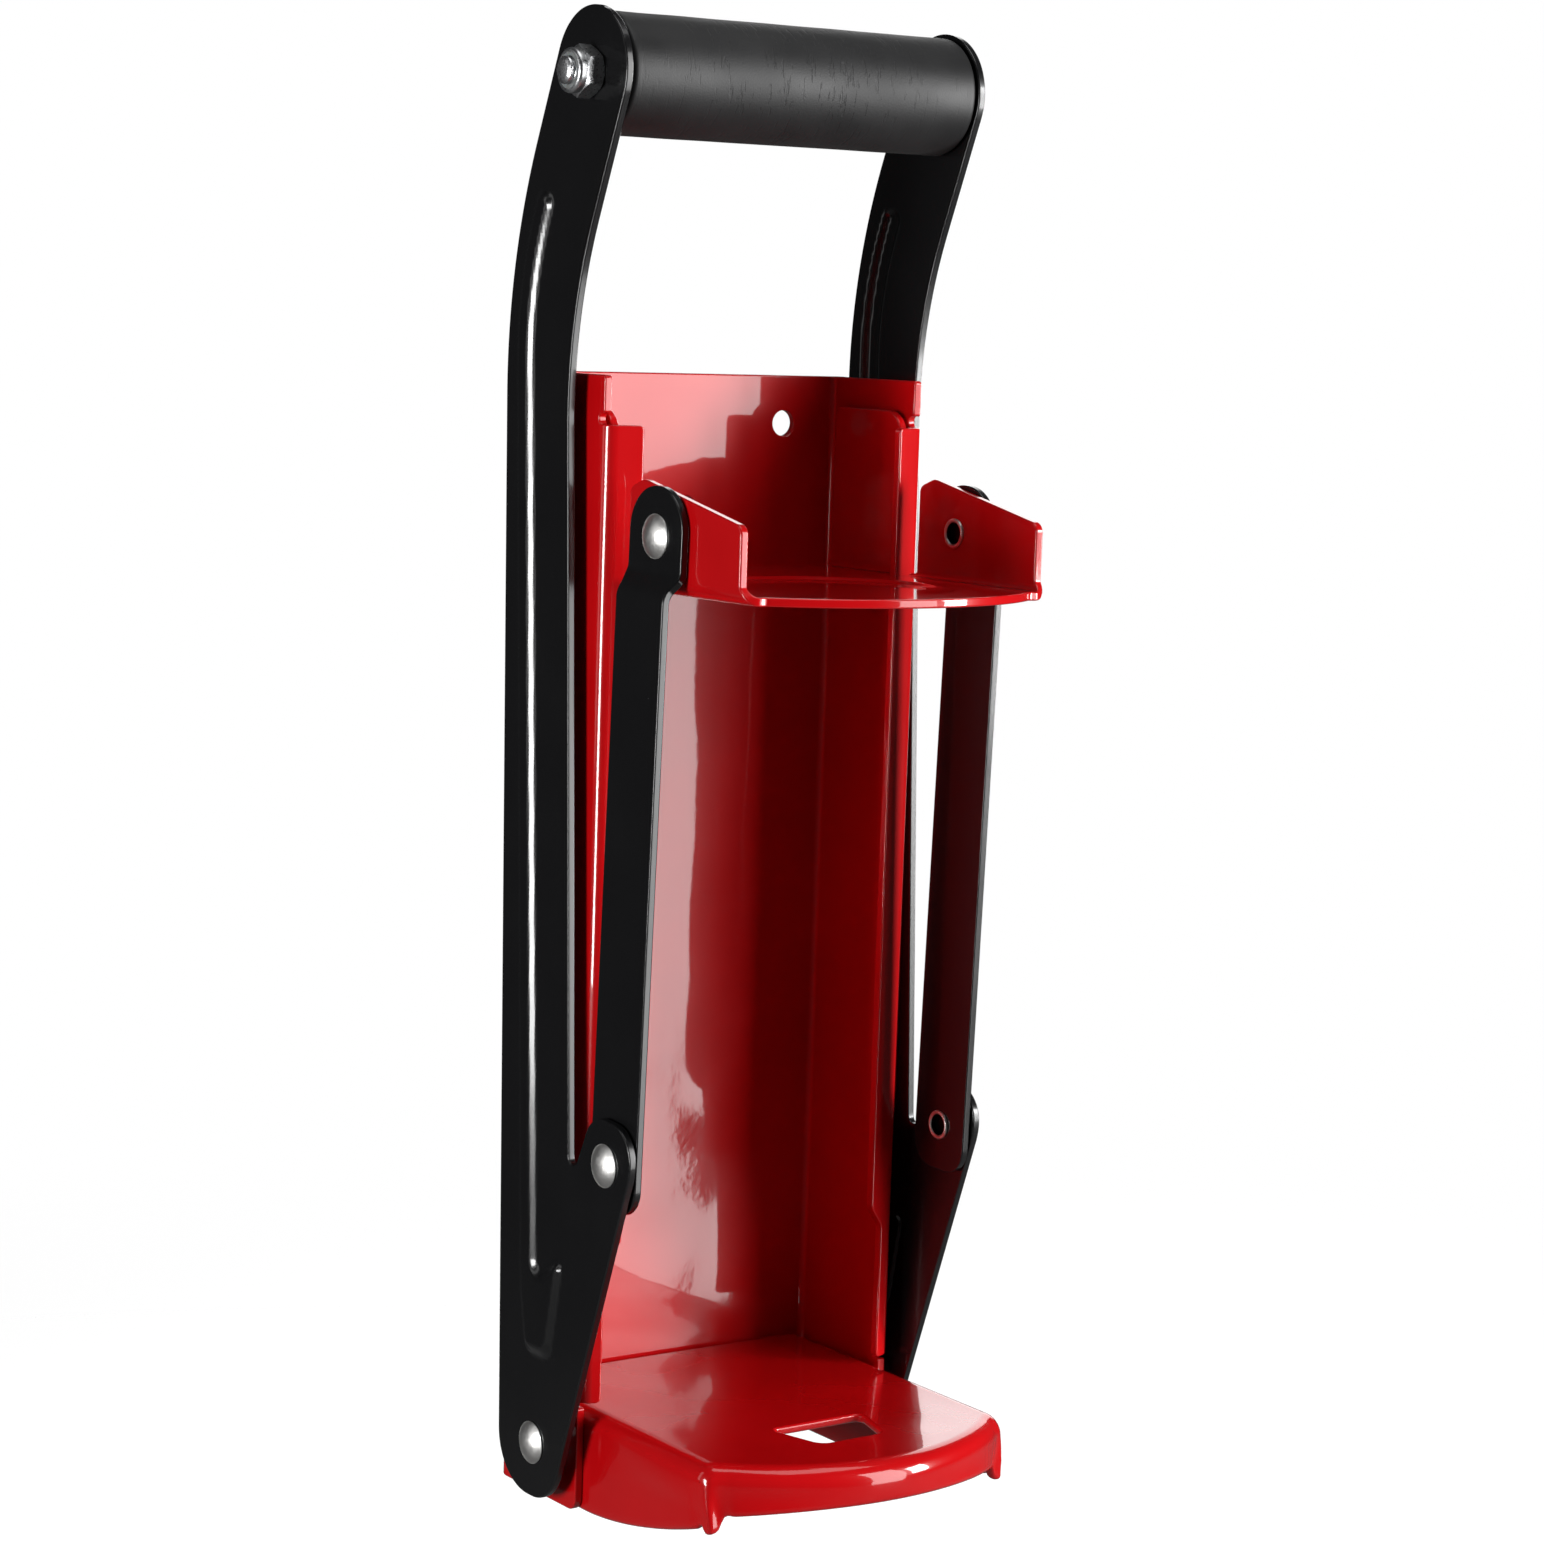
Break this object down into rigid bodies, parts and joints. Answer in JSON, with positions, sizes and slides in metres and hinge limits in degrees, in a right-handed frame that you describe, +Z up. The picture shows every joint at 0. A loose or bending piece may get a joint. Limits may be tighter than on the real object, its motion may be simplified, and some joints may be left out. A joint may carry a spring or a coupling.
{
  "type": "lever can crusher",
  "caption": "Wall-mounted can crusher: a two-armed lever and side links drive a pressing plate down a folded steel channel onto a drawn base.",
  "frame": {"origin": "centre of the back channel's rear face, which lies on the wall", "axes": "+Z up along the channel, -Y out from the wall towards the user, X across the press"},
  "size_m": [0.1089, 0.098, 0.3356],
  "materials": {
    "red_enamel": "gloss",
    "black_enamel": "gloss",
    "foam": "matt foam with a fine wrinkled skin",
    "zinc_steel": "zinc plated",
    "rivet_steel": "dull plated steel",
    "nylon": "satin"
  },
  "bodies": {
    "root": {"back_channel": "red_enamel", "base_plate": "red_enamel", "left_base_rivet": "rivet_steel", "right_base_rivet": "rivet_steel", "left_pivot_spacer": "rivet_steel", "right_pivot_spacer": "rivet_steel"},
    "ram": {"ram_plate": "red_enamel", "left_ram_rivet_tail": "rivet_steel", "right_ram_rivet_tail": "rivet_steel"},
    "lever": {"left_arm": "black_enamel", "right_arm": "black_enamel", "grip_sleeve": "foam", "handle_tube": "zinc_steel", "handle_bolt": "zinc_steel", "handle_nut": "zinc_steel", "nut_insert": "nylon", "left_link_rivet": "rivet_steel", "right_link_rivet": "rivet_steel"},
    "left_link": {"left_link": "black_enamel", "left_ram_rivet_head": "rivet_steel"},
    "right_link": {"right_link": "black_enamel", "right_ram_rivet_head": "rivet_steel"}
  },
  "joints": [
    {"name": "lever_swing", "type": "hinge", "parent": "root", "child": "lever", "pos_m": [0, -0.0224, -0.11415], "axis": [1, 0, 0], "range_deg": [0, 137.59]},
    {"name": "ram_slide", "type": "slide", "parent": "root", "child": "ram", "axis": [0, 0, -1], "range_m": [0, 0.1404]},
    {"name": "left_link_swing", "type": "hinge", "parent": "lever", "child": "left_link", "pos_m": [0, -0.0496, -0.04405], "axis": [1, 0, 0], "range_deg": [-137.69, 0]},
    {"name": "right_link_swing", "type": "hinge", "parent": "lever", "child": "right_link", "pos_m": [0, -0.0496, -0.04405], "axis": [1, 0, 0], "range_deg": [-137.69, 0]}
  ],
  "couplings": [
    {"joint": "ram_slide", "follows": "lever_swing", "m_per_rad": 0.058384},
    {"joint": "left_link_swing", "follows": "lever_swing", "ratio": -1},
    {"joint": "right_link_swing", "follows": "lever_swing", "ratio": -1}
  ]
}
